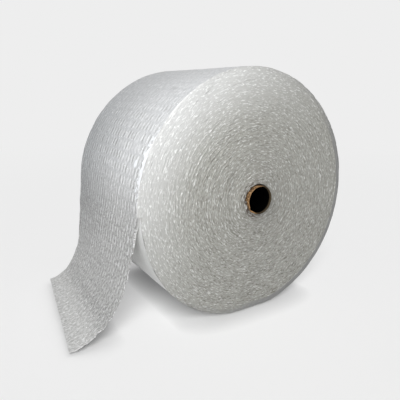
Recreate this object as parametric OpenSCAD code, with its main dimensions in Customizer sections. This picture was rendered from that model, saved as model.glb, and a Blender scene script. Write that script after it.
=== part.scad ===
// Roll of bubble wrap on a cardboard core, lying on its side with its free end on the ground.
// The roll's axis runs along Y, and the film leaves the roll on the -X side and hangs down there.
// The origin is on the ground under the roll's axis, halfway along the outermost turn.

/* [Roll] */
// Diameter of the wound film, measured level through its axis
roll_d = 483; // [400:1:600]
// Width of the film
film_w = 305; // [200:1:600]
// Distance from one turn to the next
turn_pitch = 6.2; // [5.4:0.1:9]
// Gap that shows between two turns
turn_gap = 1.2; // [1:0.1:2]
// Height that the roll loses where it lies flat on the ground
flat_sag = 4.2; // [2:0.1:8]

/* [Ends of the roll] */
// How far the outermost turn stands back from the ones inside it
rim_back = 10; // [0:0.5:16]
// Number of outer turns over which the end rounds off
rim_turns = 4; // [1:1:8]
// How far the innermost turns have crept out past the rounded rim
creep = 8; // [0:0.5:16]
// Unevenness of the turns' edges
edge_stagger = 0.8; // [0:0.1:1.5]

/* [Core] */
// Bore of the cardboard core
core_bore = 50.8; // [38:0.1:80]
// Wall of the core
core_wall = 2.2; // [1.5:0.1:6]
// Length of the core
core_len = 305; // [200:1:600]
// How far the core stands out of the innermost turns
core_proud = 9; // [0:0.5:20]
// Clearance between the core and the first turn
core_fit = 0.3; // [0.2:0.05:0.5]

/* [Free end] */
// Thickness of the film between its bubbles
sheet_t = 1.2; // [0.8:0.1:2]
// Slope of the film at its very end, measured from plumb
flare = 85; // [60:1:88]
// How soon the film bends outwards at its near edge: 1 bends evenly, less bends near the ground
near_bend = 0.485; // [0.3:0.005:0.8]
// How soon the film bends outwards at its far edge
far_bend = 0.305; // [0.3:0.005:0.8]
// How far the end's far corner curls up off the ground
far_curl = 6; // [0:0.5:12]
// How far the film's first stretch has slipped towards the near end of the roll
slip = 12; // [0:0.5:16]
// Distance by which the free end wanders back sideways as it drops
wander = 34; // [0:1:40]

/* [Bubbles] */
// Diameter of a bubble
bubble_d = 16.5; // [12:0.5:18]
// Height of a bubble
bubble_h = 4.5; // [3:0.5:6]
// Distance between two columns of bubbles, across the film
bubble_pitch = 20.7; // [19:0.1:26]
// Distance between two rows of bubbles, along the film
row_pitch = 20; // [18.5:0.5:26]
// Width of film left without bubbles at each edge
edge_margin = 2; // [1:0.5:10]

/* [Hidden] */

film_tint = [0.80, 0.82, 0.82, 0.9];
kraft_tint = [0.62, 0.42, 0.27];

// The wound part is a spiral band that grows by one pitch a turn
band_t = turn_pitch - turn_gap;
core_od = core_bore + 2 * core_wall;
inner_r = core_od / 2 + core_fit;
outer_r = roll_d / 2 + turn_pitch / 4;
turns = (outer_r - band_t - inner_r) / turn_pitch;
bottom_r = outer_r - turn_pitch * 0.75;
axis_z = bottom_r - flat_sag;

// Half of the angle over which the outermost turn lies flat, kept a little inside the whole flat
flat_share = 0.95;
flat_half = flat_share * acos(axis_z / bottom_r);

// Steps round the outermost face, and how far a step round any other turn may stray from the curve
outer_steps = 96;
chord_error = 1.5;

// Angle that scatters the turns' edges without a pattern that repeats
scatter = 137.5;

// Angles between which the slipped stretch eases back into line, and its steps
slip_start = 50;
slip_end = 105;
slip_step = 22.5;

// Smallest angle between two points of a turn
hair = 0.01;

// Length by which a bore is cut past both ends
cut_past = 1;

// The free end is a sheet of flat panes, laid out by the length down from its root and by its side,
// which is 0 at the near edge and 1 at the far edge
seat_gap = 0.3;
ground_gap = sheet_t + bubble_h + seat_gap;
samples = 24;
pane_rows = 20;
pane_columns = 4;
wander_ease = 3;
root_lap = 2;

// Bubbles start where the free end stands this far off the roll
bubble_room = 4 * bubble_h;
bubble_sides = 6;
bubble_sink = 0.75 * sheet_t;
bubble_rows = floor(free_length(0) / row_pitch);
bubble_columns = floor((film_w - 2 * edge_margin - bubble_d) / bubble_pitch) + 1;

function total(list) = list * [for (item = list) 1];

function eased(share) = let (part = max(0, min(1, share))) part * part * (3 - 2 * part);

// Radius of the film's outer face, at an angle measured back along the film from the free end
function face_r(back) = outer_r - turn_pitch * back / 360;

// Height that a turn loses at the bottom, which fades towards the core
function sag(r) = flat_sag * (r - inner_r) / (bottom_r - inner_r);

// Level below the axis at which the turn at this angle lies flat
function flat_r(back, depth) =
    let (r = face_r(360 * floor(back / 360) + 270) - depth) r - sag(r);

// Radius of the film at a depth under its outer face, pressed flat towards the ground
function pressed_r(back, depth) =
    let (r = face_r(back) - depth, down = -sin(back))
    down > 0.5 ? min(r, flat_r(back, depth) / down) : r;

function film_point(back, depth) =
    pressed_r(back, depth) * [-cos(back), sin(back)] + [0, axis_z];

// Angles from first to last in even steps, always with the last one
function angles(first, last, count) =
    concat([for (a = [first:360 / count:last - hair]) a], [last]);

// Those of a turn's angles that lie in a stretch of it, with both of its ends
function within(list, first, last) =
    concat([first], [for (a = list) if (a > first + hair && a < last - hair) a], [last]);

// Angles along the outermost face, with a single flat where it meets the ground
function outer_angles(count) = concat(
    [for (a = [0:360 / count:270]) if (a < 270 - flat_half) a],
    [270 - flat_half, 270 + flat_half],
    [for (a = [270:360 / count:360]) if (a > 270 + flat_half) a]);

// How far the end face of a turn stands out, counted from the outermost turn inwards
function proud(index) =
    let (share = min(1, index / rim_turns))
    rim_back * sqrt(1 - pow(1 - share, 2)) + creep * index / turns
        + edge_stagger * sin(scatter * index);

// Steps round one turn, in eights, so that no step strays further than the chord error
function steps_at(index) = 8 * ceil(180 / acos(1 - chord_error / face_r(360 * index)) / 8);

// How far the film has slipped towards the near end, at an angle back from the free end
function slipped(back) = slip * (1 - eased((back - slip_start) / (slip_end - slip_start)));

// Height that the free end drops, and the length of film that this takes
function drop(side) = axis_z - ground_gap - far_curl * side;
function free_length(side) =
    drop(side) * samples / total([for (i = [0.5:1:samples]) cos(slope(i / samples, side))]);

// Slope at a share of that length, measured from plumb
function slope(share, side) =
    flare * pow(share, 1 / (near_bend + (far_bend - near_bend) * side));

// Point on the outer face of the free end
function free_point(length, side) =
    let (step = length / samples,
        slopes = [for (i = [0.5:1:samples]) slope(i * step / free_length(side), side)],
        fall = step * total([for (a = slopes) cos(a)]),
        back = 1 - pow(max(0, 1 - fall / drop(side)), wander_ease))
    [-outer_r - step * total([for (a = slopes) sin(a)]),
        (side - 0.5) * film_w - slip + wander * back,
        axis_z - fall];

// Direction from the outer face of the free end to its inner face
function inward(length, side) =
    let (a = slope(length / free_length(side), side)) [cos(a), 0, -sin(a)];

// Square direction into the film, from points a bubble's radius away on each side
function film_normal(length, side) =
    let (r = bubble_d / 2,
        down = free_point(length + r, side) - free_point(length - r, side),
        across = free_point(length, side + r / film_w) - free_point(length, side - r / film_w),
        square = cross(down, across))
    square / norm(square);

// A stretch of the spiral band, from face to face
module stretch(outer, inner, out) {
    back_to_first = [for (i = [len(inner) - 1:-1:0]) inner[i]];
    rotate([90, 0, 0])
        translate([0, 0, out - film_w / 2])
            linear_extrude(film_w)
                polygon(concat(
                    [for (a = outer) film_point(a, 0)],
                    [for (a = back_to_first) film_point(a, band_t)]));
}

// One turn of the band; the outermost one is cut where it steps back into line
module turn(index) {
    first = 360 * index;
    last = 360 * min(index + 1, turns);
    inner = angles(first, last, steps_at(index));
    outer = index == 0 ? outer_angles(outer_steps) : inner;
    steps = index == 0 ? [for (a = [0:slip_step:slip_end + slip_step]) a] : [first];
    cuts = concat(steps, [last]);
    for (i = [0:len(steps) - 1])
        stretch(within(outer, cuts[i], cuts[i + 1]), within(inner, cuts[i], cuts[i + 1]),
            proud(index) + slipped((cuts[i] + cuts[i + 1]) / 2));
}

// Solid inside loops of points that follow each other, each folded once on itself
module skin(loops) {
    count = len(loops[0]);
    last = count * (len(loops) - 1);
    wall = [for (k = [0:len(loops) - 2], j = [0:count - 1])
        let (a = k * count + j, b = k * count + (j + 1) % count) [a, a + count, b + count, b]];
    lid = [for (j = [0:count / 2 - 2]) [j, j + 1, count - 2 - j, count - 1 - j]];
    base = [for (f = lid) [for (i = [3:-1:0]) last + f[i]]];
    quads = concat(wall, lid, base);
    polyhedron(
        points = [for (loop = loops, point = loop) point],
        faces = [for (f = quads, pane = [[f[0], f[1], f[2]], [f[0], f[2], f[3]]]) pane]);
}

// Sheet of the free end, with a root that laps into the outermost turn
module free_film() {
    sides = [for (c = [0:pane_columns]) c / pane_columns];
    root = [for (t = sides) free_point(0, t) + [sheet_t / 2, 0, root_lap]];
    skin(concat(
        [concat(root, [for (i = [pane_columns:-1:0]) root[i] + [sheet_t / 2, 0, 0]])],
        [for (k = [0:pane_rows]) concat(
            [for (t = sides) free_point(free_length(t) * k / pane_rows, t)],
            [for (i = [pane_columns:-1:0])
                let (t = sides[i], length = free_length(t) * k / pane_rows)
                free_point(length, t) + sheet_t * inward(length, t)])]));
}

// Staggered rows of bubbles on the inner side of the free end
module free_bubbles() {
    for (k = [0:bubble_rows - 1]) {
        length = (k + 0.5) * row_pitch;
        last = bubble_columns - 1 - k % 2;
        for (i = [0:last]) {
            side = 0.5 + (i - last / 2) * bubble_pitch / film_w;
            middle = free_point(length, side);
            room = norm([middle[0], middle[2] - axis_z]) - face_r(360);
            if (room > bubble_room && inside_cut(length, side))
                bubble(middle, film_normal(length, side));
        }
    }
}

module bubble(middle, square) {
    translate(middle + (sheet_t - bubble_sink) * square)
        rotate([0, acos(square[2]), atan2(square[1], square[0])])
            cylinder(h = bubble_h + bubble_sink, d = bubble_d, $fn = bubble_sides);
}

// Whether a whole bubble fits before the cut end
function inside_cut(length, side) =
    length + bubble_d / 2 + edge_margin < free_length(side + bubble_d / 2 / film_w);

module film_roll() {
    color(film_tint) {
        for (index = [0:ceil(turns) - 1]) turn(index);
        free_film();
        free_bubbles();
    }
}

// Straight cardboard tube, pushed out with the innermost turns
module core_tube() {
    color(kraft_tint)
        translate([0, core_len - film_w / 2 - proud(turns - 1) - core_proud, axis_z])
            rotate([90, 0, 0])
                difference() {
                    cylinder(h = core_len, d = core_od, $fn = 48);
                    translate([0, 0, -cut_past])
                        cylinder(h = core_len + 2 * cut_past, d = core_bore, $fn = 48);
                }
}

film_roll();
core_tube();
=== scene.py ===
# A roll of bubble film lying on the floor: the wound film, its free end and the cardboard core
import math
import bpy
import numpy as np
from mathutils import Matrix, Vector


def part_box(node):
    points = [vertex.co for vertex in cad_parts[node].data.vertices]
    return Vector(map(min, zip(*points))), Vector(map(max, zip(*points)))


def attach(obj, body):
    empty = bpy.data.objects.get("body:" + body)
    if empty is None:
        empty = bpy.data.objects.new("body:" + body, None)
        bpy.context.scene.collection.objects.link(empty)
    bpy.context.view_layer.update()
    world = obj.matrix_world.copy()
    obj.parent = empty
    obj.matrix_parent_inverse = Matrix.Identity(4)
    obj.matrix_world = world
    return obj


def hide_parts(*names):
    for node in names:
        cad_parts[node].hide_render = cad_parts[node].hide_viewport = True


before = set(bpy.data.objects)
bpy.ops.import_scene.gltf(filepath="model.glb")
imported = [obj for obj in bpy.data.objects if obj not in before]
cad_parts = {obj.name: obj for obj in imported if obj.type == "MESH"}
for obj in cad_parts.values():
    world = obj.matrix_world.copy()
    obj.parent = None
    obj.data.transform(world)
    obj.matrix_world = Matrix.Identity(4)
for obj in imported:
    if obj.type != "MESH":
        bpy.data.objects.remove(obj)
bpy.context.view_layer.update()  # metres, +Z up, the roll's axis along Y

coreLow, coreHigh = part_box("core_tube")

# What every piece of film shares
roll = {
    "axisHeight": (coreLow[2] + coreHigh[2]) / 2,
    "outerRadius": 0.24305,   # where the free end leaves the roll
    "innerRadius": 0.0281,    # just clear of the core
    "turnPitch": 0.0062,      # from one turn to the next
    "width": 0.305,
    "flatSag": 0.0042,        # height lost where it lies flat
    "flatReach": 0.5,         # sine of the angle below the axis from which a turn is pressed
    "cornerSoftness": 0.0006,
    "rimBack": 0.010,         # how far the outermost turn stands back
    "rimTurns": 4.0,
    "creep": 0.008,           # how far the inner turns have crept out
    "coreCreep": 0.0048,      # a little more next to the core
    "coreCreepFrom": 29,
    "slip": 0.012,            # how far the first stretch has slipped towards the near end
    "slipStart": 50 / 360,    # turns back over which the slip eases out
    "slipEnd": 105 / 360,
    "slipFollow": 1.03,       # how far the next turns have come out with it
    "stepStart": 0.78,        # share of the outermost turn after which its edge steps out
}
bubbles = {
    "acrossPitch": 0.0207,
    "alongPitch": 0.020,
    "radius": 0.0082,
}
turnTotal = (roll["outerRadius"] - roll["innerRadius"]) / roll["turnPitch"]
bottomTurn = 0.75             # the lowest place of a turn, counted from the free end's root
bottomRadius = roll["outerRadius"] - bottomTurn * roll["turnPitch"]


# Camera, lights and floor
view = {
    "place": (-0.5101, -0.7909, 0.4394),
    "direction": (0.508, 0.8236, -0.2517),
    "lens": 39.11,
    "sensor": 36.0,
    "clipEnd": 60.0,
}
studio = {
    "floorTone": 0.855,       # the pale floor, which renders at its own colour
    "floorGlow": 0.14,        # share of the floor's own tone in what the camera sees of it
    "contactGlow": 0.35,      # a share that fades where the floor is close to the roll
    "contactReach": 0.05,
    "contactSamples": 16,
    "skyLight": 0.20,
    "fadeStart": 1.2,         # distances over which the floor fades into the room
    "fadeEnd": 2.6,
    "floorHalf": 14.0,
}
lamps = [
    {"name": "floorLight", "source": (-0.38, -0.66, 0.64), "strength": 3.74, "angle": 30.0,
     "onto": "ground"},
    {"name": "keyLight", "source": (-0.60, -0.12, 0.79), "strength": 0.98, "angle": 50.0,
     "onto": "pieces"},
    {"name": "fillLight", "source": (-0.54, -0.82, 0.16), "strength": 0.66, "angle": 40.0,
     "onto": "pieces"},
    {"name": "glintLight", "source": (-0.60, -0.30, 0.74), "strength": 0.36, "angle": 5.0,
     "onto": "pieces"},
]
softbox = {
    "place": (-0.44, -0.46, 0.62),
    "aim": (-0.12, -0.12, 0.36),
    "size": 0.30,
    "power": 2.1,
}
ground = bpy.data.collections.new("ground")
bpy.context.scene.collection.children.link(ground)
pieces = bpy.data.collections.new("bubbleFilmRoll")
bpy.context.scene.collection.children.link(pieces)


class Signal:
    # One output of a node; sums written with it add their Math nodes
    def __init__(self, finish, socket):
        self.finish = finish
        self.socket = socket

    def output(self, name):
        # another output of the same node
        return Signal(self.finish, self.socket.node.outputs[name])

    def maths(self, operation, *others):
        return self.finish.maths(operation, self, *others)

    def __add__(self, other):
        return self.finish.maths("ADD", self, other)

    def __radd__(self, other):
        return self.finish.maths("ADD", other, self)

    def __sub__(self, other):
        return self.finish.maths("SUBTRACT", self, other)

    def __rsub__(self, other):
        return self.finish.maths("SUBTRACT", other, self)

    def __mul__(self, other):
        return self.finish.maths("MULTIPLY", self, other)

    def __rmul__(self, other):
        return self.finish.maths("MULTIPLY", other, self)

    def __truediv__(self, other):
        return self.finish.maths("DIVIDE", self, other)

    def __rtruediv__(self, other):
        return self.finish.maths("DIVIDE", other, self)


class Finish:
    # A material, or the world, and its nodes
    def __init__(self, name, owner=None):
        self.owner = owner or bpy.data.materials.new(name)
        self.owner.use_nodes = True
        self.tree = self.owner.node_tree
        self.shader = self.tree.nodes.get("Principled BSDF")

    def put(self, socket, value):
        if isinstance(value, Signal):
            self.tree.links.new(value.socket, socket)
        elif isinstance(value, tuple) and len(value) == 3 and socket.type == "RGBA":
            socket.default_value = (*value, 1.0)
        else:
            socket.default_value = value

    def add(self, kind, settings=None, values=None, output=0):
        # any node: its type, settings, sockets' values or links, and the output wanted
        node = self.tree.nodes.new(kind)
        for name, value in (settings or {}).items():
            setattr(node, name, value)
        for name, value in (values or {}).items():
            self.put(node.inputs[name], value)
        return Signal(self, node.outputs[output])

    def maths(self, operation, *values):
        return self.add("ShaderNodeMath", {"operation": operation}, dict(enumerate(values)))

    def vector(self, operation, first, second):
        return self.add("ShaderNodeVectorMath", {"operation": operation}, {0: first, 1: second})

    def distance(self, vector):
        return self.add("ShaderNodeVectorMath", {"operation": "LENGTH"}, {0: vector}, "Value")

    def point(self, x, y, z=0.0):
        return self.add("ShaderNodeCombineXYZ", None, {0: x, 1: y, 2: z})

    def split(self, vector):
        x = self.add("ShaderNodeSeparateXYZ", None, {0: vector})
        return x, x.output(1), x.output(2)

    def noise(self, vector, scale, detail=2.0, roughness=0.5):
        return self.add("ShaderNodeTexNoise", None, {
            "Vector": vector, "Scale": scale, "Detail": detail, "Roughness": roughness})

    def remap(self, value, low, high, newLow=0.0, newHigh=1.0):
        # from one range to another, held at its two ends
        return self.add("ShaderNodeMapRange", None, {
            "Value": value, "From Min": low, "From Max": high,
            "To Min": newLow, "To Max": newHigh})

    def blend(self, factor, first, second, how="MIX"):
        return self.add("ShaderNodeMix", {"data_type": "RGBA", "blend_type": how},
                        {0: factor, 6: first, 7: second}, 2)

    def share(self, name):
        # a number that the piece carries at each vertex
        return self.add("ShaderNodeAttribute", {"attribute_name": name}, None, "Fac")

    def objectPlace(self):
        return self.add("ShaderNodeTexCoord", None, None, "Object")

    def feed(self, name, value):
        self.put(self.shader.inputs[name], value)

    def roughen(self, height, strength, depth):
        self.feed("Normal", self.add("ShaderNodeBump", None, {
            "Strength": strength, "Distance": depth, "Height": height}, "Normal"))


def placeCamera():
    data = bpy.data.cameras.new("viewpoint")
    data.lens = view["lens"]
    data.sensor_width = view["sensor"]
    data.clip_end = view["clipEnd"]
    camera = bpy.data.objects.new("viewpoint", data)
    camera.location = view["place"]
    camera.rotation_euler = Vector(view["direction"]).to_track_quat("-Z", "Y").to_euler()
    bpy.context.scene.collection.objects.link(camera)
    bpy.context.scene.camera = camera


def placeSun(lamp):
    data = bpy.data.lights.new(lamp["name"], "SUN")
    data.energy = lamp["strength"]
    data.angle = math.radians(lamp["angle"])
    sun = bpy.data.objects.new(lamp["name"], data)
    sun.rotation_euler = (-Vector(lamp["source"])).to_track_quat("-Z", "Y").to_euler()
    bpy.context.scene.collection.objects.link(sun)
    sun.light_linking.receiver_collection = ground if lamp["onto"] == "ground" else pieces


def placeSoftbox():
    # close to the upper near edge
    data = bpy.data.lights.new("softbox", "AREA")
    data.shape = "DISK"
    data.size = softbox["size"]
    data.energy = softbox["power"]
    lamp = bpy.data.objects.new("softbox", data)
    lamp.location = softbox["place"]
    aim = Vector(softbox["aim"]) - lamp.location
    lamp.rotation_euler = aim.to_track_quat("-Z", "Y").to_euler()
    bpy.context.scene.collection.objects.link(lamp)
    lamp.light_linking.receiver_collection = pieces


def seenRays(finish):
    # 1 for what is seen straight, mirrored or through film
    camera = finish.add("ShaderNodeLightPath", None, None, "Is Camera Ray")
    seen = camera.maths("MAXIMUM", camera.output("Is Glossy Ray"))
    return seen.maths("MAXIMUM", camera.output("Is Transmission Ray"))


def lightStudio():
    world = bpy.data.worlds.new("paleRoom")
    bpy.context.scene.world = world
    room = Finish("paleRoom", world)
    background = room.tree.nodes["Background"]
    sky = studio["skyLight"]
    room.put(background.inputs["Color"], (1.0, 1.0, 1.0))
    room.put(background.inputs["Strength"], sky + seenRays(room) * (studio["floorTone"] - sky))
    for lamp in lamps:
        placeSun(lamp)
    placeSoftbox()


def paintFloor():
    paint = Finish("studioFloor")
    tone = (studio["floorTone"],) * 3
    allGlow = studio["floorGlow"] + studio["contactGlow"]
    place = paint.add("ShaderNodeNewGeometry", None, None, "Position")
    far = paint.remap(paint.distance(place), studio["fadeStart"], studio["fadeEnd"])
    bare = paint.add("ShaderNodeAmbientOcclusion", {"samples": studio["contactSamples"]},
                     {"Distance": studio["contactReach"]}, "AO")
    glowing = seenRays(paint) * allGlow
    # the contact share is taken off the glow where something stands close
    strength = 1.0 - (1.0 - bare * bare) * (studio["contactGlow"] / allGlow)
    matt = paint.add("ShaderNodeBsdfDiffuse", None, {"Color": tone})
    glow = paint.add("ShaderNodeEmission", None, {"Color": tone, "Strength": strength})
    both = paint.add("ShaderNodeMixShader", None,
                     {0: glowing + (1.0 - glowing) * far, 1: matt, 2: glow})
    paint.put(paint.tree.nodes["Material Output"].inputs["Surface"], both)
    return paint.owner


def layFloor():
    half = studio["floorHalf"]
    mesh = bpy.data.meshes.new("studioFloor")
    mesh.from_pydata([(-half, -half, 0), (half, -half, 0), (half, half, 0), (-half, half, 0)],
                     [], [(0, 1, 2, 3)])
    floor = bpy.data.objects.new("studioFloor", mesh)
    ground.objects.link(floor)
    mesh.materials.append(paintFloor())


placeCamera()
lightStudio()
layFloor()
bpy.context.scene.view_settings.view_transform = "Standard"
print("camera, lights and floor are in place")


# Smooth steps and noise that are the same on each run
noiseCells = 4096     # random values after which a line of noise repeats
sheetCells = 512      # for each side of a sheet of noise
bubbleCount = 8192


def eased(part):
    return part * part * (3 - 2 * part)


def smoothStep(low, high, value):
    return eased(np.clip((value - low) / (high - low), 0, 1))


def ownNoise(length, spacing, seed):
    # from -1 to 1 along a line
    values = np.random.default_rng(seed).uniform(-1, 1, noiseCells)
    cell = np.floor(length / spacing).astype(int)
    part = eased(length / spacing - cell)
    return values[cell % noiseCells] * (1 - part) + values[(cell + 1) % noiseCells] * part


def sheetNoise(along, across, spacing, seed):
    # from -1 to 1 over a sheet
    values = np.random.default_rng(seed).uniform(-1, 1, (sheetCells, sheetCells))
    i = np.floor(along / spacing).astype(int)
    j = np.floor(across / spacing).astype(int)
    u = eased(along / spacing - i)
    v = eased(across / spacing - j)
    here, further = i % sheetCells, (i + 1) % sheetCells
    beside, beyond = j % sheetCells, (j + 1) % sheetCells
    low = values[here, beside] * (1 - u) + values[further, beside] * u
    high = values[here, beyond] * (1 - u) + values[further, beyond] * u
    return low * (1 - v) + high * v


# The wound film; a turn is counted back from the free end's root
def filmLength(turn):
    # length of film from the free end's root to a number of turns back
    return 2 * math.pi * (roll["outerRadius"] * turn - roll["turnPitch"] * turn * turn / 2)


def pressed(radius, turn):
    # a radius flattened towards the floor, with a soft corner
    low = radius + roll["turnPitch"] * (turn - np.floor(turn) - bottomTurn)
    sag = roll["flatSag"] * (low - roll["innerRadius"]) / (bottomRadius - roll["innerRadius"])
    down = np.maximum(-np.sin(2 * math.pi * turn), roll["flatReach"])
    flat = (low - sag) / down
    soft = roll["cornerSoftness"]
    gap = np.clip((flat - radius) / soft, -40, 40)   # within what exp can take
    return np.where(down > roll["flatReach"], radius - soft * np.log1p(np.exp(-gap)), radius)


def proud(turn):
    # how far the end face of a turn stands out of the outermost turn's plane
    settled = np.where(turn < 1, smoothStep(roll["stepStart"], 1, turn), turn)
    share = np.minimum(1, settled / roll["rimTurns"])
    return (roll["rimBack"] * np.sqrt(1 - (1 - share) ** 2)
            + roll["creep"] * settled / turnTotal)


def slipped(turn):
    # how far the film has slipped towards the near end
    return roll["slip"] * (1 - smoothStep(roll["slipStart"], roll["slipEnd"], turn))


def nearSide(turn):
    # the next turns have come out with the slipped film, so that the rim is full
    part = turn - np.floor(turn)
    drawn = np.where(turn < 1, 0, 1 - smoothStep(roll["slipStart"], roll["slipEnd"], part))
    drawn = drawn + smoothStep(roll["stepStart"], 1, part)
    full = np.maximum(proud(turn), drawn * roll["slip"] * roll["slipFollow"])
    full = full + roll["coreCreep"] * smoothStep(roll["coreCreepFrom"], turnTotal, turn)
    return -roll["width"] / 2 - full - slipped(turn)


def farSide(turn):
    return roll["width"] / 2 - proud(turn) - slipped(turn)


def rollPoints(radius, turn, along):
    angle = 2 * math.pi * turn
    bent = pressed(radius, turn)
    return np.stack([-bent * np.cos(angle), along, roll["axisHeight"] + bent * np.sin(angle)], -1)


# Making objects
def makePiece(name, points, faces, shares, filmPlace=None):
    mesh = bpy.data.meshes.new(name)
    mesh.from_pydata(points.tolist(), [], faces)
    mesh.update()
    mesh.shade_smooth()
    for label, values in shares.items():
        layer = mesh.attributes.new(label, "FLOAT", "POINT")
        layer.data.foreach_set("value", np.asarray(values, dtype=np.float32))
    if filmPlace is not None:
        corners = np.empty(len(mesh.loops), dtype=np.int32)
        mesh.loops.foreach_get("vertex_index", corners)
        layer = mesh.uv_layers.new(name="filmPlace")
        layer.data.foreach_set("uv", filmPlace[corners].astype(np.float32).ravel())
    piece = bpy.data.objects.new(name, mesh)
    pieces.objects.link(piece)
    return piece


def gridFaces(rows, columns, start=0, flip=False):
    # quads of a grid of vertices, row after row
    first = (start + np.arange(rows - 1)[:, None] * columns + np.arange(columns - 1)).ravel()
    faces = np.stack([first, first + 1, first + columns + 1, first + columns], -1)
    return (faces[:, ::-1] if flip else faces).tolist()


# The two ends of the roll, where the cut edges of every turn show
endFace = {
    "strands": 6,                 # lines of vertices for each turn
    "steps": (640, 320, 160),     # points round a turn, fewer towards the core
    "stepTurns": (15, 27),        # turns at which they halve
    "gapDepth": 0.0018,
    "gapBreak": 0.75,             # how much of it is lost in places along a turn
    "gapBreakFrom": (0.5, -0.3),  # noise at which it starts and is complete
    "gapEase": 1.7,               # how soon a gap fills where its two layers come close
    "gapLeast": 0.2,
    "gapSmooth": 0.1,             # share of its depth on the rim's smooth part
    "lipShare": 0.10,             # thickness of a cut edge, as a share of the pitch
    "lipDrop": 0.0010,
    "crestRise": 0.0005,          # how far the bubbled layer's edge stands back
    "crestPlace": (0.22, 0.42, 0.10),   # least share, swing from bubble to bubble, stray
    "crestSwing": (0.1, 1.0),     # how much the bubbles differ
    "crestShift": (0.35, 0.031),  # how far they stray along the film, in pitches, and spacing
    "stepShares": (0, 0.1, 0.3, 0.5, 0.6, 0.8),   # each strand's way to the next turn's plane
    "crestRecess": 0.15,          # how much painted shade the layers and the tuck get, from 0
    "seamRecess": 0.5,
    "tuckRecess": 2.0,
    "edgeWander": 0.0005,
    "raggedness": 0.0013,         # of the outermost turn's own edge
    "raggedLength": (1.2, 1.5),   # lengths of film over which that fades
    "radiusWander": 0.15,         # how far a turn strays from its place, as a share of the pitch
    "tuckDepth": 0.010,           # how far the innermost edge is tucked in along the core
    "tuckInset": 0.00005,
    "litRimAngle": 138.0,           # where the outer turns are painted lighter as if lit, seen from the near end
    "litRimSpread": 115.0,
    "litRimInner": 0.125,
    "litRimClose": 1.5,             # how soon the gaps close towards the part painted lighter
    "smooth": (313.0, 95.0),      # angle and spread of the rim's smooth part
    "shade": (326.0, 140.0),      # and of its dark part
    "shadeTurns": (2.6, 3.7),
    "lobeEase": (0.1, 0.8),
    "lobeNarrow": 0.55,           # share of those turns left at the two sides
    "nearSeed": 11,
    "farSeed": 57,
}
# Each unevenness of the ends: spacing along the film, what it adds to the seed, and its share
uneven = {
    "edge": (0.024, 2, 1.0),
    "edgeFine": (0.006, 3, 0.5),
    "ragged": (0.019, 4, 1.0),
    "raggedFine": (0.007, 5, 0.5),
    "bump": (0.012, 4, 1.5),
    "bumpFine": (0.005, 6, 1.0),
    "lip": (0.017, 5, 1.0),
    "stray": (0.045, 7, 1.0),
    "strayFine": (0.013, 8, 0.6),
    "crest": (0.007, 9, 1.0),
    "gap": (0.016, 12, 1.0),
}


def endSeed(side):
    return endFace["nearSeed"] if side < 0 else endFace["farSeed"]


def endNoise(length, side, name):
    spacing, extra, share = uneven[name]
    return share * ownNoise(length, spacing, endSeed(side) + extra)


def bubbleWave(length, seed):
    # how far the bubbled layer swings across its pitch, bubble by bubble
    swing = np.random.default_rng(seed).uniform(*endFace["crestSwing"], bubbleCount)
    shift, spacing = endFace["crestShift"]
    place = length / bubbles["alongPitch"] + shift * ownNoise(length, spacing, seed + 1)
    number = np.floor(place).astype(int) % bubbleCount
    return (0.5 - 0.5 * np.cos(2 * math.pi * place)) * swing[number]


def ownEdge(length, side):
    # unevenness of a cut edge along the film; the free end goes on with it below zero
    fine = endNoise(length, side, "edge") + endNoise(length, side, "edgeFine")
    coarse = endNoise(length, side, "ragged") + endNoise(length, side, "raggedFine")
    outer = endFace["raggedness"] * (1 - smoothStep(*endFace["raggedLength"], length))
    return endFace["edgeWander"] * fine + outer * np.maximum(coarse, -0.3)


def around(turn, angle, spread):
    # 1 at an angle seen from the near end, easing to 0 at the spread on both sides
    off = (180 - 360 * turn - angle + 180) % 360 - 180
    return 0.5 + 0.5 * np.cos(math.pi * np.clip(off / spread, -1, 1))


def litRimShare(turn):
    # 1 on the upper left of the near end, where the outer turns are painted lighter as if lit
    radius = roll["outerRadius"] - roll["turnPitch"] * turn
    lobe = around(turn, endFace["litRimAngle"], endFace["litRimSpread"])
    return lobe * smoothStep(endFace["litRimInner"], roll["outerRadius"], radius)


def rimLobe(turn, angle, spread):
    # 1 along the outer turns at the lower right of the near end, over fewer turns at its sides
    first, last = endFace["shadeTurns"]
    lobe = smoothStep(*endFace["lobeEase"], around(turn, angle, spread))
    wide = endFace["lobeNarrow"] + (1 - endFace["lobeNarrow"]) * lobe
    return lobe * (1 - smoothStep(first * wide, last * wide, turn))


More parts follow.
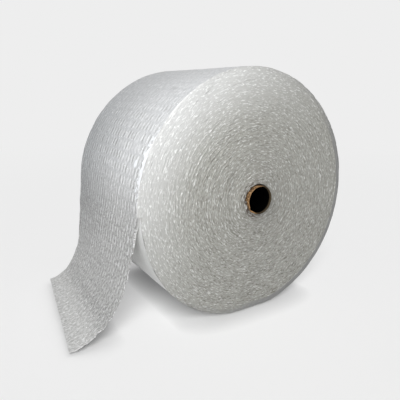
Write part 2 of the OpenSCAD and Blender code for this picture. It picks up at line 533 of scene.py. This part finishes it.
def endStrands(turn, side):
    # for each strand: its share across the pitch, its place along the axis and its recess
    length = filmLength(turn)
    lip, wander = endFace["lipShare"], endFace["edgeWander"]
    flat = 0 * turn
    # the near rim is smooth at the lower right, and its gaps close at the upper left, where the
    # outer turns are painted lighter
    rough = 1 - rimLobe(turn, *endFace["smooth"]) if side < 0 else 1 + flat
    even = (1 - np.minimum(endFace["litRimClose"] * litRimShare(turn), 1) if side < 0
            else 1 + flat)
    fade = smoothStep(0, 1.0, turn)
    broken = 1 - endFace["gapBreak"] * smoothStep(
        *endFace["gapBreakFrom"], endNoise(length, side, "gap"))
    left = endFace["gapSmooth"] + (1 - endFace["gapSmooth"]) * rough
    deep = endFace["gapDepth"] * left * even * broken
    stray = endNoise(length, side, "stray") + endNoise(length, side, "strayFine")
    start = endFace["radiusWander"] * stray * fade * rough
    least, swing, loose = endFace["crestPlace"]
    crest = (least + swing * bubbleWave(length, endSeed(side))
             + loose * (1 + endNoise(length, side, "crest")))
    bump = (endNoise(length, side, "bump") + endNoise(length, side, "bumpFine")) * wander
    lipDepth = (ownEdge(length, side) + endFace["lipDrop"] * fade * even
                * np.maximum(endNoise(length, side, "lip"), 0))
    crestDepth = (endFace["crestRise"] + bump * rough) * even
    # a gap is less deep where the layers on its two sides come close
    firstGap, secondGap = (
        deep * np.clip(endFace["gapEase"] * (room - lip), endFace["gapLeast"], 1)
        for room in (crest, 1 - crest))
    shares = [start + share for share in (
        flat, lip, (lip + crest) / 2, crest, crest + lip, (crest + lip + 1) / 2)]
    depths = [lipDepth, lipDepth, firstGap, crestDepth, crestDepth, secondGap]
    place = nearSide if side < 0 else farSide
    level = place(turn)
    step = place(turn + 1) - level
    along = [level + part * step - side * depth
             for part, depth in zip(endFace["stepShares"], depths)]
    crestRecess = flat + endFace["crestRecess"]
    recess = [flat, flat, firstGap / endFace["gapDepth"], crestRecess, crestRecess,
              secondGap / endFace["gapDepth"]]
    return shares, along, recess


def stepsOf(turnNumber):
    for limit, steps in zip(endFace["stepTurns"], endFace["steps"]):
        if turnNumber < limit:
            return steps
    return endFace["steps"][-1]


def endPoints(side):
    # points, recess and turn of all vertices, each strand's start, and the seam's own vertex
    strands, lastTurn = endFace["strands"], int(turnTotal)
    place = nearSide if side < 0 else farSide
    points, recesses, turns, starts = [], [], [], []
    total = 0
    for number in range(lastTurn + 1):
        steps = stepsOf(number)
        # the turn after the last one gives only its first point of each strand
        turn = number + np.arange(steps) / steps
        shares, along, recess = endStrands(turn, side)
        for k in range(strands):
            keep = steps if number < lastTurn or k == 0 else 1
            kept = turn[:keep]
            radius = roll["outerRadius"] - roll["turnPitch"] * (kept + shares[k][:keep])
            radius = np.maximum(radius, roll["innerRadius"])
            points.append(rollPoints(radius, kept, along[k][:keep]))
            recesses.append(recess[k][:keep])
            turns.append(kept)
            starts.append((total, keep))
            total += keep
    # a seam vertex for the end of the innermost strand
    closing = np.array([lastTurn + 1.0])
    points.append(rollPoints(np.array([roll["innerRadius"]]), closing, place(closing)))
    recesses.append(np.array([endFace["seamRecess"]]))
    turns.append(closing)
    # the last strand is tucked in along the core
    steps = starts[lastTurn * strands][1]
    turn = lastTurn + np.arange(steps) / steps
    radius = np.full(steps, roll["innerRadius"] - endFace["tuckInset"])
    points.append(rollPoints(radius, turn, place(turn) - side * endFace["tuckDepth"]))
    recesses.append(np.full(steps, endFace["tuckRecess"]))
    turns.append(turn)
    return [np.concatenate(part) for part in (points, recesses, turns)], starts, total


def endFaces(starts, seamEnd):
    # bands from strand to strand, all the way in
    strands = endFace["strands"]
    rows = int(turnTotal) * strands

    def line(row):
        # a strand's vertices, closed by the first one of the same strand a turn further in
        start, steps = starts[row]
        further = row + strands
        closing = starts[further][0] if further < len(starts) else seamEnd
        return [start + j for j in range(steps)] + [closing]

    faces = []
    for row in range(rows):
        upper, lower = line(row), line(row + 1)
        if len(upper) == len(lower):
            faces += [(upper[j], lower[j], lower[j + 1], upper[j + 1])
                      for j in range(len(upper) - 1)]
        else:
            for j in range(len(lower) - 1):
                faces.append((upper[2 * j], lower[j], upper[2 * j + 1]))
                faces.append((upper[2 * j + 1], lower[j], lower[j + 1]))
                faces.append((upper[2 * j + 1], lower[j + 1], upper[2 * j + 2]))
    inner = line(rows)
    steps = len(inner) - 1
    tuck = [seamEnd + 1 + j for j in range(steps)] + [seamEnd + 1]
    faces += [(inner[j], tuck[j], tuck[j + 1], inner[j + 1]) for j in range(steps)]
    seam = [starts[rows + k][0] for k in range(strands)] + [seamEnd]
    faces += [(seam[k], seam[k + 1], tuck[0]) for k in range(strands)]
    return faces


def makeEnd(name, side):
    (points, recess, turn), starts, seamEnd = endPoints(side)
    points[:, 2] = np.maximum(points[:, 2], 0.0)
    faces = endFaces(starts, seamEnd)
    if side > 0:
        faces = [face[::-1] for face in faces]
    near = float(side < 0)
    piece = makePiece(name, points, faces, {
        "recess": recess,
        "paintedLight": near * litRimShare(turn),
        "shade": near * rimLobe(turn, *endFace["shade"])})
    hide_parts("film_roll")
    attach(piece, "root")
    return piece


nearEnd = makeEnd("nearEnd", -1)
farEnd = makeEnd("farEnd", 1)
print("both ends of the roll are made")


# The outermost turn and the free end: one sheet, its length above zero on the roll
sheet = {
    "turns": 1.03,
    "columns": 110,
    "pillow": 0.00018,
    "taut": (0.3, -0.012, 0.030),   # share of the pillow left below the root, and where it fades
    "wrinkle": (0.00018, 0.0055, 5),   # height, spacing and seed
    "wave": (0.0005, 0.045, 8),
    "softEdge": 0.012,
    "stripLightTurns": (0.76, 0.82, 1.0, 1.01),   # where the strip beside the free end is painted lighter: in, full, out
    "stripLightAcross": (0.22, 0.65),
}


def bubbleDisc(length, across):
    # 0 on the land between bubbles, 1 at the middle of a bubble
    row = np.round(length / bubbles["alongPitch"] - 0.5)
    shift = 0.5 * (row % 2)
    column = np.round(across / bubbles["acrossPitch"] - shift)
    dx = across - (column + shift) * bubbles["acrossPitch"]
    dy = length - (row + 0.5) * bubbles["alongPitch"]
    away = np.hypot(dx, dy) / bubbles["radius"]
    return np.sqrt(np.clip(1 - away * away, 0, 1))


def sheetLift(length, across):
    # unevenness of the sheet's outer face, none along its cut edges
    fade = smoothStep(0, sheet["softEdge"], roll["width"] / 2 - np.abs(across))
    least, low, high = sheet["taut"]
    taut = least + (1 - least) * smoothStep(low, high, length)
    lift = sheet["pillow"] * taut * (bubbleDisc(length, across) - 1)
    for height, spacing, seed in (sheet["wrinkle"], sheet["wave"]):
        lift += height * sheetNoise(length, across, spacing, seed)
    return fade * lift


def stripLight(turn, share):
    # painted light: the near part of the turn, which faces the floor in front in the shade beside
    # the free end, is painted lighter
    start, full, end, gone = sheet["stripLightTurns"]
    late = smoothStep(start, full, turn) * (1 - smoothStep(end, gone, turn))
    return late * (1 - smoothStep(*sheet["stripLightAcross"], share))


def makeWrap():
    steps = endFace["steps"][0]
    rows = int(steps * sheet["turns"]) + 1
    columns = sheet["columns"] + 1
    turn, share = np.meshgrid(np.arange(rows) / steps, np.linspace(0, 1, columns), indexing="ij")
    length = filmLength(turn)
    nearEdge = endStrands(turn, -1)[1][0]
    farEdge = endStrands(turn, 1)[1][0]
    along = nearEdge + (farEdge - nearEdge) * share
    across = (share - 0.5) * roll["width"]
    radius = roll["outerRadius"] - roll["turnPitch"] * turn + sheetLift(length, across)
    points = rollPoints(radius, turn, along).reshape(-1, 3)
    points[:, 2] = np.maximum(points[:, 2], 0.0)
    filmPlace = np.stack([length, across], -1).reshape(-1, 2)
    piece = makePiece("outerTurn", points, gridFaces(rows, columns, flip=True),
                      {"paintedLight": stripLight(turn, share).ravel()}, filmPlace)
    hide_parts("film_roll")
    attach(piece, "root")
    return piece


outerTurn = makeWrap()
print("outermost turn is made")


# The free end, which hangs from the roll and bends out along the floor
freeEnd = {
    "thickness": 0.0005,
    "rows": 150,
    "fineSteps": 600,         # steps over which its curves are worked out
    "groundGap": 0.006,       # height of the near corner of its end
    "floorGap": 0.0004,       # least height of its underside
    "farCurl": 0.006,         # how much higher the far corner is
    "flare": 85.0,            # degrees outwards at its end
    "nearBend": 0.485,        # lower bends over a shorter length
    "farBend": 0.305,
    "wander": 0.034,          # towards the far end on the way down
    "wanderEase": 3.0,
    "wedge": 0.085,           # length over which the near edge thins
    "wedgeWidth": (0.020, 0.004),
    "domeHeight": 0.0045,
    "domeClear": 0.0012,      # room kept between a bubble and the roll
    "domeFull": 0.6,          # lower makes the bubbles fuller
    "plainEdge": (0.002, 0.022),   # distances from a cut edge over which bubbles rise
    "plainEnd": 0.004,
    "edgeBand": 0.014,        # strip along the cut edges that nicks and curl reach
    "rootHold": 0.05,         # length below the root over which they come in
    "nick": (0.0030, 0.0085, 41),      # size, spacing and seed
    "nickFrom": (0.45, 0.85),
    "endNick": (0.0012, 0.011, 45),
    "endBand": 0.02,
    "curl": (0.0007, 0.021, 21),
}


def freeNoise(place, name):
    size, spacing, seed = freeEnd[name]
    return ownNoise(place, spacing, seed), size


def unitLength(vectors):
    return vectors / np.linalg.norm(vectors, axis=-1, keepdims=True)


def freeEndCurves(across):
    # outer face: one curve from the root to the end for each place across
    side = across / roll["width"] + 0.5
    drop = roll["axisHeight"] - freeEnd["groundGap"] - freeEnd["farCurl"] * side
    bend = 1 / (freeEnd["nearBend"] + (freeEnd["farBend"] - freeEnd["nearBend"]) * side)
    fine = freeEnd["fineSteps"]
    share = (np.arange(fine) + 0.5) / fine
    slope = np.radians(freeEnd["flare"]) * share[:, None] ** bend[None, :]
    step = drop / np.cos(slope).sum(0)
    x = -roll["outerRadius"] - np.vstack([0 * side, np.cumsum(np.sin(slope) * step, 0)])
    fall = np.vstack([0 * side, np.cumsum(np.cos(slope) * step, 0)])
    left = np.maximum(0, 1 - fall / drop)
    y = across - roll["slip"] + freeEnd["wander"] * (1 - left ** freeEnd["wanderEase"])
    pick = np.linspace(0, fine, freeEnd["rows"] + 1)
    lower = np.minimum(pick.astype(int), fine - 1)
    part = (pick - lower)[:, None]
    curves = [line[lower] * (1 - part) + line[lower + 1] * part
              for line in (x, y, roll["axisHeight"] - fall)]
    return np.stack(curves, -1), pick[:, None] * step


def bubbleDepth(points, along, across, nearness, wedge):
    # how far the bubbled layer stands out on the side towards the roll
    toRoll = np.hypot(points[..., 0], points[..., 2] - roll["axisHeight"])
    room = toRoll - (roll["outerRadius"] - roll["turnPitch"]) - freeEnd["domeClear"]
    height = np.minimum(freeEnd["domeHeight"], np.maximum(room, 0))
    whole = (smoothStep(*freeEnd["plainEdge"], nearness)
             * smoothStep(0, freeEnd["plainEnd"], along[-1:] - along))
    dome = height * bubbleDisc(-along, across) ** freeEnd["domeFull"] * whole
    # the edge keeps the thickness of a turn where it leaves the roll
    return np.maximum(dome, (roll["turnPitch"] - freeEnd["thickness"]) * wedge)


def makeFreeEnd():
    across = np.linspace(-0.5, 0.5, sheet["columns"] + 1) * roll["width"]
    points, along = freeEndCurves(across)
    across = np.broadcast_to(across, along.shape)
    toEnd = along[-1:] - along
    nearness = roll["width"] / 2 - np.abs(across)
    downward = np.gradient(points, axis=0)
    downward[0] = (0, 0, -1)
    normal = unitLength(np.cross(np.gradient(points, axis=1), downward))   # towards the room
    loose = smoothStep(0, freeEnd["rootHold"], along)
    edge = smoothStep(freeEnd["edgeBand"], 0, nearness)
    # cut edges go on from the roll's; further down the near one has irregular nicks
    share = across / roll["width"] + 0.5
    points[..., 1] += (1 - share) * ownEdge(-along, -1) - share * ownEdge(-along, 1)
    nick, size = freeNoise(along, "nick")
    nick = size * smoothStep(*freeEnd["nickFrom"], nick)
    points[..., 1] += edge * nick * loose * (across < 0)
    endNick, size = freeNoise(across, "endNick")
    endNick = size * np.abs(endNick) * smoothStep(freeEnd["endBand"], 0, toEnd)
    points -= unitLength(downward) * endNick[..., None]
    curl, size = freeNoise(along, "curl")
    lift = sheetLift(-along, across) + edge * size * curl * loose
    outer = points + normal * lift[..., None]
    wedge = smoothStep(freeEnd["wedge"], 0, along) * (across < 0)
    wedge = wedge * smoothStep(*freeEnd["wedgeWidth"], nearness)
    depth = freeEnd["thickness"] + bubbleDepth(points, along, across, nearness, wedge)
    inner = outer - normal * depth[..., None]
    inner[..., 2] = np.maximum(inner[..., 2], freeEnd["floorGap"])
    rows, columns = along.shape
    count = rows * columns
    faces = gridFaces(rows, columns) + gridFaces(rows, columns, count, flip=True)
    # a rim along both cut edges and the end; the root goes on as the outermost turn
    rim = ([i * columns for i in range(rows)]
           + [(rows - 1) * columns + j for j in range(1, columns)]
           + [i * columns + columns - 1 for i in range(rows - 2, -1, -1)])
    sheetFaces = len(faces)
    faces += [(b, b + count, a + count, a) for a, b in zip(rim, rim[1:])]
    filmPlace = np.stack([-along, across], -1).reshape(-1, 2)
    # painted light: the inner side of the thick edge near the root is painted lighter
    paintedLight = np.concatenate([np.zeros(count), smoothStep(0, 0.3, wedge).ravel()])
    piece = makePiece("freeEnd", np.concatenate([outer.reshape(-1, 3), inner.reshape(-1, 3)]),
                      faces, {"paintedLight": paintedLight}, np.concatenate([filmPlace, filmPlace]))
    for polygon in piece.data.polygons[sheetFaces:]:
        polygon.use_smooth = False
    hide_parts("film_roll")
    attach(piece, "root")
    return piece


freeEndPiece = makeFreeEnd()
print("free end is made")


# The cardboard core
core = {
    "boreRadius": 0.0254,
    "wall": 0.0022,
    "nearEnd": coreLow[1],
    "farEnd": coreHigh[1],
    "steps": 180,
    "plies": 5,
    "plyStep": 0.0003,        # how far each ply's edge stands back
    "roundOff": 0.001,        # of the outer wall at both ends
    "innerRound": 0.0008,
    "rimNoise": (0.0003, 0.004, 31),   # depth, spacing and seed of the cut rim's unevenness
    "rimDepth": 0.0006,       # how far along the tube it reaches, and how far the dent does
    "dentDepth": 0.002,
    "nickAngle": 222.0,       # a dent in the rim, seen from the near end
    "nickDepth": 0.004,
    "nickHalf": (0.24, 0.10),          # radians to each side
    "darkFrom": (0.0009, 0.0045),      # depths in the bore over which the painted shade comes in
    "coreLitAngle": 165.0,
    "coreLitShare": (0.42, 0.70),
}


def coreProfile():
    # from the outer wall round the near rim, through the bore and round the far rim
    wall, bore = core["wall"], core["boreRadius"]
    near, far = core["nearEnd"], core["farEnd"]
    ply = core["plyStep"]
    profile = [(far - core["roundOff"], bore + wall), (near + core["roundOff"], bore + wall),
               (near + ply, bore + wall * 0.93)]
    # a small step for each ply
    for number in range(core["plies"]):
        start = bore + wall * (0.88 - 0.78 * number / core["plies"])
        profile += [(near, start), (near + ply, start - wall * 0.08)]
    profile += [(near + depth, bore) for depth in (core["innerRound"], 0.005, 0.012, 0.09)]
    return profile + [(far - core["innerRound"], bore),
                      (far, bore + wall * 0.2), (far, bore + wall * 0.8)]


def makeCore():
    steps, near = core["steps"], core["nearEnd"]
    angle = 2 * math.pi * np.arange(steps) / steps
    fromNick = np.abs(angle - math.radians(core["nickAngle"]))
    nick = core["nickDepth"] * smoothStep(*core["nickHalf"], fromNick)
    depth, spacing, seed = core["rimNoise"]
    profile = coreProfile()
    count = len(profile)
    rows = []
    for number, (along, radius) in enumerate(profile):
        shift = 0 * angle
        if along < near + core["rimDepth"]:
            shift = depth * ownNoise(angle * 0.03 + number, spacing, seed)   # own line for each
        if along < near + core["dentDepth"]:
            shift = shift + nick
        rows.append(np.stack([radius * np.cos(angle), along + shift,
                              roll["axisHeight"] + radius * np.sin(angle)], -1))
    faces = []
    for i in range(count):
        row, following = i * steps, (i + 1) % count * steps
        for j in range(steps):
            right = (j + 1) % steps
            faces.append((row + j, row + right, following + right, following + j))
    wall, bore = core["wall"], core["boreRadius"]
    inside = [smoothStep(*core["darkFrom"], along - near) * (radius < bore + 1e-6)
              for along, radius in profile]
    outside = [float(radius > bore + wall * 0.9) for along, radius in profile]
    # painted shade: the rim keeps its pale card at the upper left, where the light falls, and is
    # painted dark on the right and below, where it is in shade
    lobe = 0.5 + 0.5 * np.cos(angle - math.radians(core["coreLitAngle"]))
    paintedRimShade = np.tile(1 - smoothStep(*core["coreLitShare"], lobe), count)
    piece = makePiece("coreTube", np.concatenate(rows), faces, {
        "inside": np.repeat(inside, steps), "paintedRimShade": paintedRimShade, "outside": np.repeat(outside, steps)})
    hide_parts("core_tube")
    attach(piece, "root")
    return piece


coreTube = makeCore()
print("core is made")


# Finishes: colours, and scales of the noise that varies them
endLook = {
    "edgeTone": (0.345, 0.343, 0.315),
    "recessShadeTone": (0.27, 0.265, 0.24),
    "shineTone": (0.84, 0.85, 0.84),
    "fleckTone": (0.11, 0.10, 0.075),
    "shadeTone": (0.235, 0.237, 0.237),
    "gapShadowTone": (0.050, 0.030, 0.018),
    "squeeze": 3.7,           # how much shorter a dash is from turn to turn than along
    "dashScale": 150.0,
    "fleckScale": 140.0,
    "fleckShift": (3.0, 0.0, 0.0),     # so that the flecks aren't where the dashes are
    "cloudScale": 26.0,
    "fineScale": 620.0,
}
paintedLightTone = (0.60, 0.605, 0.60)   # painted light: the lighter tone on the near end's lit outer turns and on the strip of the sheet beside the free end
filmBump = {"strength": 0.35, "depth": 0.0006}


def finishEnds():
    film = Finish("cutFilmEdges")
    recess, paintedLight, shade = (film.share(name) for name in ("recess", "paintedLight", "shade"))
    place = film.objectPlace()
    fromAxis = film.vector("SUBTRACT", place, (0.0, 0.0, roll["axisHeight"]))
    flat = film.vector("MULTIPLY", fromAxis, (1.0, 0.0, 1.0))
    radius = film.distance(flat)
    # long along the turns, short from turn to turn
    drawn = film.vector("ADD", flat, film.point(0.0, radius * endLook["squeeze"]))
    dashes = film.noise(drawn, endLook["dashScale"], 1.0)
    elsewhere = film.vector("ADD", drawn, endLook["fleckShift"])
    flecks = film.noise(elsewhere, endLook["fleckScale"], 1.0)
    cloud = film.noise(place, endLook["cloudScale"], 3.0)
    x, height = film.split(place)[::2]
    left = film.remap(x, 0.012, -0.012)
    low = film.remap(height, 0.25, 0.06)
    plain = 1.0 - 0.8 * paintedLight
    # painted shade in the gaps between the layers
    tone = film.blend(film.remap(recess, 0.1, 0.95) * plain,
                      endLook["edgeTone"], endLook["recessShadeTone"])
    tone = film.blend(film.remap(cloud, 0.35, 0.7, 0.0, 0.4), tone, endLook["edgeTone"])
    # painted shade, darker towards the core
    tone = film.blend(film.remap(radius, 0.12, 0.035, 0.0, 0.6), tone, endLook["recessShadeTone"])
    dark = film.remap(flecks, 0.55, 0.68, 0.0, 0.75) * (0.6 + low * 0.4)
    tone = film.blend(dark * plain * (1.0 - shade), tone, endLook["fleckTone"])
    # painted light: the outer turns at the upper left are painted lighter
    tone = film.blend(paintedLight, tone, paintedLightTone)
    tone = film.blend(shade * 0.9, tone, endLook["shadeTone"])
    # painted highlights: short bright dashes along the turns, stronger on the outer turns painted
    # lighter
    shine = film.remap(dashes, 0.56, 0.68) * (0.50 + paintedLight * 0.38) * (1.0 - shade)
    tone = film.blend(shine, tone, endLook["shineTone"])
    # painted shadow: dark brown in the last gaps round the core, on the left
    coreGapShadow = film.remap(radius, 0.043, 0.031) * film.remap(flecks, 0.42, 0.56) * left
    tone = film.blend(coreGapShadow, tone, endLook["gapShadowTone"])
    # painted shadow in the tuck along the core
    tone = film.blend(film.remap(recess, 1.2, 1.8), tone, endLook["gapShadowTone"])
    film.feed("Base Color", tone)
    film.feed("Roughness", film.remap(cloud, 0.3, 0.7, 0.34, 0.50))
    film.roughen(film.noise(place, endLook["fineScale"], 2.0), **filmBump)
    return film.owner


filmLook = {
    "wrapTone": (0.575, 0.58, 0.59),
    "wrapDark": (0.46, 0.47, 0.48),
    "wrapShade": (0.31, 0.315, 0.325),
    "farShadeTone": (0.56, 0.57, 0.58),
    "tipLightTone": (0.19, 0.19, 0.187),
    "streakHighlightTone": (0.80, 0.81, 0.82),
    "rimHighlightTone": (0.76, 0.78, 0.81),
    "paintedGlintTone": (0.95, 0.96, 0.97),
    "tailTone": (0.43, 0.43, 0.425),
    "tailDark": (0.21, 0.21, 0.205),
    "paintedStripGlow": (0.10, 0.10, 0.095),   # painted glow for light that comes through the wound film
    "wideScale": 22.0,
    "middlingScale": 110.0,
    "streakScale": 120.0,
    "mottleScale": 175.0,
    "glintScale": 300.0,
    "fineScale": 520.0,
    "strokePitch": 0.0122,    # of the short strokes across the film
    "strokeStray": 0.008,
    "strokeOffset": 0.37,     # from row to row, in strokes
    "groupScale": (3.7, 95.0),     # of the groups in which strokes are strong, by row and across
}
# A painted highlight on one bubble, and the painted shade of a dent near the top: place and half
# size on the film
litBubble = {"length": 0.0848, "across": -0.1185, "halfLength": 0.0075, "halfAcross": 0.0058}
shadedDent = {"length": 0.2413, "across": -0.0795, "halfLength": 0.008, "halfAcross": 0.014}


def bubbleCells(length, across):
    # the row and its shift, and the way from the middle of the nearest bubble
    place = length / bubbles["alongPitch"] - 0.5
    row = place.maths("ROUND")
    shift = row.maths("FLOORED_MODULO", 2.0) * 0.5
    cell = across / bubbles["acrossPitch"] - shift
    dx = across - (cell.maths("ROUND") + shift) * bubbles["acrossPitch"]
    dy = length - (row + 0.5) * bubbles["alongPitch"]
    return row, shift, dx, dy


def wrapTones(film, place, streaks, away):
    # on the roll: faint rows, and streaks along the film painted as highlights and shade
    wide = film.noise(place, filmLook["wideScale"], 3.0)
    disc = film.remap(away, 1.15, 0.7) * film.remap(wide, 0.3, 0.6, 0.1, 0.5)
    tone = film.blend(disc, filmLook["wrapDark"], filmLook["wrapTone"])
    tone = film.blend(film.remap(streaks, 0.52, 0.70, 0.0, 0.6), tone, filmLook["streakHighlightTone"])
    return film.blend(film.remap(streaks, 0.46, 0.30, 0.0, 0.6), tone, filmLook["wrapShade"])


def hangingTones(film, length, streaks, mottle, away):
    # on the free end: fine mottling, bubble outlines near its end, painted highlight streaks, and
    # painted light towards the floor
    ring = film.remap((away - 0.98).maths("ABSOLUTE"), 0.16, 0.04)
    low = film.remap(length, -0.14, -0.23)
    height = film.split(film.objectPlace())[2]
    tone = film.blend(film.remap(mottle, 0.43, 0.58), filmLook["tailDark"], filmLook["tailTone"])
    tone = film.blend(ring * low * 0.35, tone, filmLook["tailDark"])
    tone = film.blend(film.remap(streaks, 0.54, 0.70, 0.0, 0.55), tone, filmLook["streakHighlightTone"])
    return film.blend(film.remap(height, 0.036, 0.014), tone, filmLook["tipLightTone"], "ADD")


def strokeRows(film, tone, length, across, middling, row, shift, dy):
    # painted shade and highlight: rows of short dark and light strokes on the two sides of the
    # bubbles, one row for each row of bubbles
    byRow, byPlace = filmLook["groupScale"]
    group = film.point(row * byRow, across * byPlace, shift)
    strength = film.remap(film.noise(group, 1.0, 0.0), 0.32, 0.62, 0.15, 1.0)
    band = film.remap(dy.maths("ABSOLUTE"), 0.0086, 0.0058)
    band = band * film.remap(length, 0.24, 0.12, 0.05, 1.0)
    band = band * film.remap(length, -0.20, -0.08, 0.3, 1.0) * strength
    stray = (middling - 0.5) * filmLook["strokeStray"]
    strokes = (across + stray) / filmLook["strokePitch"] + row * filmLook["strokeOffset"]
    strokes = (strokes.maths("FRACT") - 0.5).maths("ABSOLUTE") * 2.0
    tone = film.blend(film.remap(strokes, 0.5, 0.85) * band * 0.75, tone, filmLook["tailDark"])
    return film.blend(film.remap(strokes, 0.5, 0.15) * band * 0.55, tone, filmLook["streakHighlightTone"])


def spotAway(film, length, across, spot):
    # 1 on the outline of an oval spot, 0 at its middle
    return film.distance(film.point((length - spot["length"]) / spot["halfLength"],
                                    (across - spot["across"]) / spot["halfAcross"]))


def finishSheet():
    film = Finish("bubbleFilm")
    place = film.add("ShaderNodeUVMap", {"uv_map": "filmPlace"})
    length, across = film.split(place)[:2]
    fromEdge = roll["width"] / 2 + across
    row, shift, dx, dy = bubbleCells(length, across)
    away = (dx * dx + dy * dy).maths("SQRT") / bubbles["radius"]
    middling = film.noise(place, filmLook["middlingScale"], 2.0)
    glintNoise = film.noise(place, filmLook["glintScale"], 1.0)
    fine = film.noise(place, filmLook["fineScale"], 2.0)
    streaks = film.noise(film.vector("MULTIPLY", place, (1.0, 1.8, 1.0)),
                         filmLook["streakScale"], 3.0, 0.6)
    mottle = film.noise(film.vector("MULTIPLY", place, (1.0, 1.5, 1.0)),
                        filmLook["mottleScale"], 3.0, 0.65)
    tone = film.blend(film.remap(length, 0.08, -0.04),
                      wrapTones(film, place, streaks, away),
                      hangingTones(film, length, streaks, mottle, away))
    tone = strokeRows(film, tone, length, across, middling, row, shift, dy)
    # painted shade: darker towards the far end, where the film leaves the roll
    turned = film.remap(length, 0.38, 0.12) * film.remap(length, -0.18, -0.02)
    tone = film.blend(film.remap(across, -0.07, 0.13) * turned, tone,
                      filmLook["farShadeTone"], "MULTIPLY")
    # painted highlights: whitish patches along the near edge, high up on the roll
    high = film.remap(length, 0.20, 0.12) * film.remap(length, -0.01, 0.03)
    reach = film.remap((length - 0.085).maths("ABSOLUTE"), 0.080, 0.02, -0.005, 0.012)
    rim = film.remap(fromEdge + (middling - 0.5) * 0.05 - reach, 0.002, -0.002) * high
    rim = rim.maths("MAXIMUM", film.remap(spotAway(film, length, across, litBubble), 1.1, 0.75))
    dentShading = film.remap(spotAway(film, length, across, shadedDent), 1.2, 0.2, 0.0, 0.55)
    tone = film.blend(dentShading, tone, filmLook["wrapShade"])
    tone = film.blend(rim * 0.85, tone, filmLook["rimHighlightTone"])
    # painted glints all over, and more of them along the free end's near edge
    edging = film.remap(fromEdge, 0.004, 0.0015) * film.remap(length, 0.0, -0.02)
    tone = film.blend(film.remap(glintNoise + edging * 0.09, 0.68, 0.74, 0.0, 0.9),
                      tone, filmLook["paintedGlintTone"])
    # painted light and a painted glow on the strip beside the free end and on the thick edge near
    # its root
    paintedLight = film.share("paintedLight")
    tone = film.blend(paintedLight * film.remap(mottle, 0.35, 0.6, 1.0, 0.7), tone, paintedLightTone)
    film.feed("Base Color", tone)
    film.feed("Emission Color", film.blend(paintedLight, (0.0, 0.0, 0.0), filmLook["paintedStripGlow"]))
    film.feed("Emission Strength", 1.0)
    film.feed("Roughness", film.remap(fine, 0.3, 0.7, 0.28, 0.46))
    film.roughen(fine, **filmBump)
    return film.owner


boardLook = {
    "darkFibre": (0.30, 0.17, 0.08),
    "paleFibre": (0.52, 0.33, 0.17),
    "patch": (0.42, 0.25, 0.12),
    "tornAndShaded": (0.085, 0.050, 0.028),
    "paintedRimShade": (0.045, 0.040, 0.028),
    # painted shade: the bore is near black
    "bore": (0.001, 0.001, 0.001),
    "fibreScale": 260.0,
    "patchScale": 24.0,
    "scrapScale": 330.0,
}
boardBump = {"strength": 0.4, "depth": 0.0004}


def finishCore():
    board = Finish("kraftBoard")
    place = board.objectPlace()
    fibre = board.noise(place, boardLook["fibreScale"], 4.0, 0.6)
    patches = board.noise(place, boardLook["patchScale"], 2.0)
    scraps = board.noise(place, boardLook["scrapScale"], 1.0)
    tone = board.blend(board.remap(fibre, 0.3, 0.7),
                       boardLook["darkFibre"], boardLook["paleFibre"])
    tone = board.blend(board.remap(patches, 0.35, 0.65, 0.0, 0.4), tone, boardLook["patch"])
    # dark scraps on the outer wall: torn card, and the painted shadow of the gap between the tube
    # and the film
    tornAndShaded = board.share("outside") * board.remap(scraps, 0.40, 0.52) * 0.9
    tone = board.blend(tornAndShaded, tone, boardLook["tornAndShaded"])
    tone = board.blend(board.share("paintedRimShade") * 0.92, tone, boardLook["paintedRimShade"])
    # painted shade: the bore turns near black
    tone = board.blend(board.share("inside"), tone, boardLook["bore"])
    board.feed("Base Color", tone)
    board.feed("Specular IOR Level", 0.0)
    board.feed("Roughness", board.remap(fibre, 0.3, 0.7, 0.75, 0.92))
    board.roughen(fibre, **boardBump)
    return board.owner


cutEdges = finishEnds()
bubbleFilm = finishSheet()
for piece, finish in ((nearEnd, cutEdges), (farEnd, cutEdges), (outerTurn, bubbleFilm),
                      (freeEndPiece, bubbleFilm), (coreTube, finishCore())):
    piece.data.materials.append(finish)
print("finishes are on")
